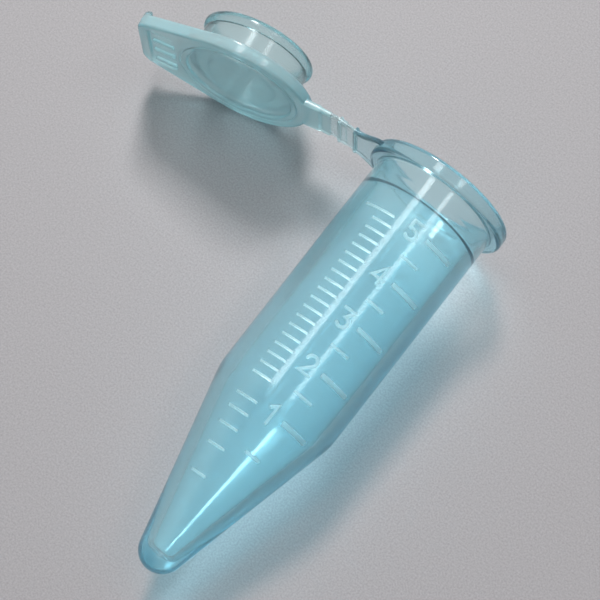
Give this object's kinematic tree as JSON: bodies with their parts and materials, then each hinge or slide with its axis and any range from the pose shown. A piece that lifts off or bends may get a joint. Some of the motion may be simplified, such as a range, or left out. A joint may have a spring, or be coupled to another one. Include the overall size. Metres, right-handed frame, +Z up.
{
  "type": "microcentrifuge tube",
  "caption": "Conical sample tube with a moulded volume scale, lying on its side with its hinged plug lid open on a folding strap.",
  "frame": {"origin": "middle of the bounding box, on the surface that the open tube lies on", "axes": "+Y from the tube's tip towards its mouth, +Z up from the surface, the open lid lies towards -X"},
  "size_m": [0.053, 0.0626, 0.0198],
  "materials": {
    "tinted_pp": "translucent blue-tinted polypropylene, glossy",
    "thin_pp": "thin, almost clear blue-tinted polypropylene, glossy",
    "lid_pp": "translucent blue-tinted polypropylene, satin",
    "marks": "raised moulded marks, satin"
  },
  "bodies": {
    "tube": {"tip": "tinted_pp", "cone": "tinted_pp", "barrel": "tinted_pp", "seat_collar": "thin_pp", "mouth_rim": "tinted_pp", "hinge_lug": "tinted_pp", "lug_gussets": "tinted_pp", "lug_edge_beads": "tinted_pp", "fine_marks_barrel": "marks", "fine_marks_cone": "marks", "major_marks": "marks", "half_marks": "marks", "numeral_1": "marks", "numeral_2": "marks", "numeral_3": "marks", "numeral_4": "marks", "numeral_5": "marks"},
    "strap_link": {"film_hinge_tube": "thin_pp", "link_panel": "thin_pp", "link_rib": "tinted_pp", "link_edge_beads": "tinted_pp"},
    "lid": {"film_hinge_lid": "thin_pp", "hinge_pad": "lid_pp", "pad_edge_beads": "lid_pp", "lid_disc": "lid_pp", "lid_boss": "lid_pp", "face_ring": "lid_pp", "lid_border": "lid_pp", "plug_skirt": "thin_pp", "plug_bead": "thin_pp", "tab_web": "lid_pp", "tab_grip_ribs": "lid_pp", "tab_lip": "lid_pp"}
  },
  "joints": [
    {"name": "tube_film_hinge", "type": "hinge", "parent": "tube", "child": "strap_link", "pos_m": [0.00323, 0.02661, 0.00991], "axis": [0, 0.0474, -0.9989], "range_deg": [0, 90], "deforming": ["film_hinge_tube"]},
    {"name": "lid_film_hinge", "type": "hinge", "parent": "strap_link", "child": "lid", "pos_m": [0.00083, 0.02661, 0.00991], "axis": [0, 0.0474, -0.9989], "range_deg": [0, 100.7], "deforming": ["film_hinge_lid"]}
  ],
  "couplings": [
    {"joint": "lid_film_hinge", "follows": "tube_film_hinge", "ratio": 1.1189}
  ]
}
